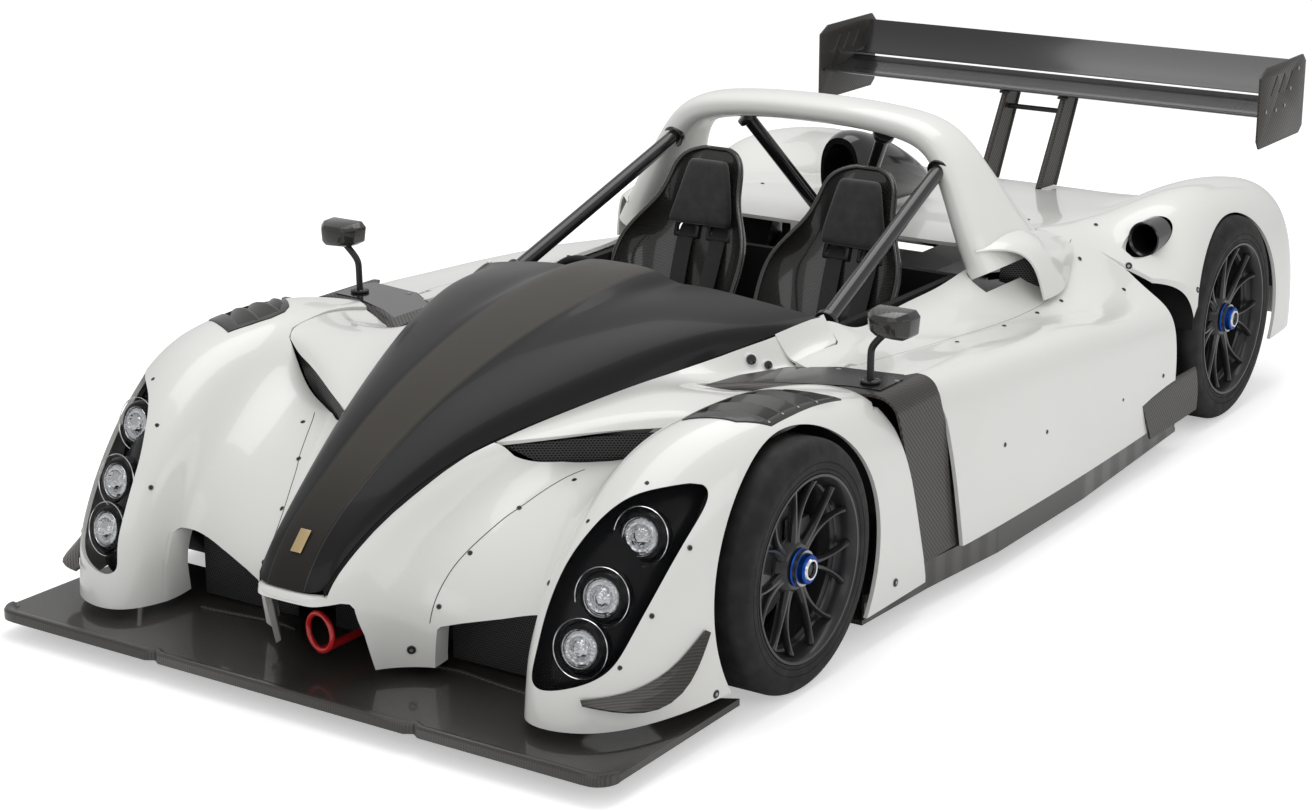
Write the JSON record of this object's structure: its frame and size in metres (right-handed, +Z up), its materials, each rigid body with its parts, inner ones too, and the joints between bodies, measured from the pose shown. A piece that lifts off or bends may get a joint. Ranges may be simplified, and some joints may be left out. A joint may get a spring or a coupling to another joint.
{
  "type": "track sports car",
  "caption": "Open two-seat track sports car with a black bonnet, carbon front splitter, roll hoop fairing and a tall two-element rear wing",
  "frame": {"origin": "on the ground, in the middle of the car both ways", "axes": "+X to the car's left, +Y to its rear, +Z up; the front faces -Y"},
  "size_m": [1.78, 3.933, 1.011],
  "materials": {
    "body": "gloss white paint on moulded composite panels",
    "carbon": "twill carbon fibre under clear lacquer",
    "black": "satin black",
    "trim": "black padding and webbing",
    "steel": "machined and plain metal",
    "tyre": "smooth slick rubber",
    "hub": "blue anodised nut on a steel spindle",
    "lens": "clear moulded cover",
    "red": "red"
  },
  "bodies": {
    "chassis": {"splitter": "carbon", "floor_pan": "carbon", "sills": "carbon", "diffuser": "carbon", "front_clam": "body", "brow_panels": "body", "bonnet": "black", "headlight_units": "black", "headlight_lenses": "lens", "fender_louvres": "carbon", "side_vanes": "carbon", "mirrors": "black", "dive_planes": "carbon", "tow_eye": "red", "intake_mesh": "black", "side_pods": "body", "cockpit_sides": "body", "tub": "black", "dashboard": "black", "seats": "carbon", "seat_pads": "trim", "harnesses": "trim", "roll_hoop": "body", "stays": "black", "airbox": "black", "engine": "steel", "rear_clam": "body", "side_scoops": "body", "oval_ducts": "black", "wing_supports": "black", "wing_main": "black", "wing_flap": "black", "endplates": "black", "tail_lights": "red", "front_wishbones": "black", "rear_wishbones": "black", "rear_uprights": "steel", "rack_housing": "steel", "tail_panel": "body"},
    "steering_wheel": {"steering_wheel": "black"},
    "rack": {"steering_rack": "steel"},
    "knuckle_left": {"front_upright_left": "steel"},
    "knuckle_right": {"front_upright_right": "steel"},
    "wheel_front_left": {"front_rim_left": "black", "front_tyre_left": "tyre", "front_hub_left": "hub"},
    "wheel_front_right": {"front_rim_right": "black", "front_tyre_right": "tyre", "front_hub_right": "hub"},
    "wheel_rear_left": {"rear_rim_left": "black", "rear_tyre_left": "tyre", "rear_hub_left": "hub"},
    "wheel_rear_right": {"rear_rim_right": "black", "rear_tyre_right": "tyre", "rear_hub_right": "hub"}
  },
  "joints": [
    {"name": "steer_left", "type": "hinge", "parent": "chassis", "child": "knuckle_left", "pos_m": [0.705, -1.2165, 0.286], "axis": [0, 0, 1], "range_deg": [-24, 24]},
    {"name": "steer_right", "type": "hinge", "parent": "chassis", "child": "knuckle_right", "pos_m": [-0.705, -1.2165, 0.286], "axis": [0, 0, 1], "range_deg": [-24, 24]},
    {"name": "steering_wheel_turn", "type": "hinge", "parent": "chassis", "child": "steering_wheel", "pos_m": [-0.236, -0.4165, 0.56], "axis": [0, 0.891, 0.454], "range_deg": [-270, 270]},
    {"name": "rack_slide", "type": "slide", "parent": "chassis", "child": "rack", "axis": [1, 0, 0], "range_m": [-0.055, 0.055]},
    {"name": "wheel_spin_front_left", "type": "hinge", "parent": "knuckle_left", "child": "wheel_front_left", "pos_m": [0.785, -1.2165, 0.286], "axis": [1, 0, 0], "continuous": true},
    {"name": "wheel_spin_front_right", "type": "hinge", "parent": "knuckle_right", "child": "wheel_front_right", "pos_m": [-0.785, -1.2165, 0.286], "axis": [1, 0, 0], "continuous": true},
    {"name": "wheel_spin_rear_left", "type": "hinge", "parent": "chassis", "child": "wheel_rear_left", "pos_m": [0.732, 1.2405, 0.298], "axis": [1, 0, 0], "continuous": true},
    {"name": "wheel_spin_rear_right", "type": "hinge", "parent": "chassis", "child": "wheel_rear_right", "pos_m": [-0.732, 1.2405, 0.298], "axis": [1, 0, 0], "continuous": true}
  ],
  "couplings": [
    {"joint": "steer_right", "follows": "steer_left", "ratio": 1},
    {"joint": "steering_wheel_turn", "follows": "steer_left", "ratio": 11.25},
    {"joint": "rack_slide", "follows": "steer_left", "m_per_rad": -0.1152}
  ]
}
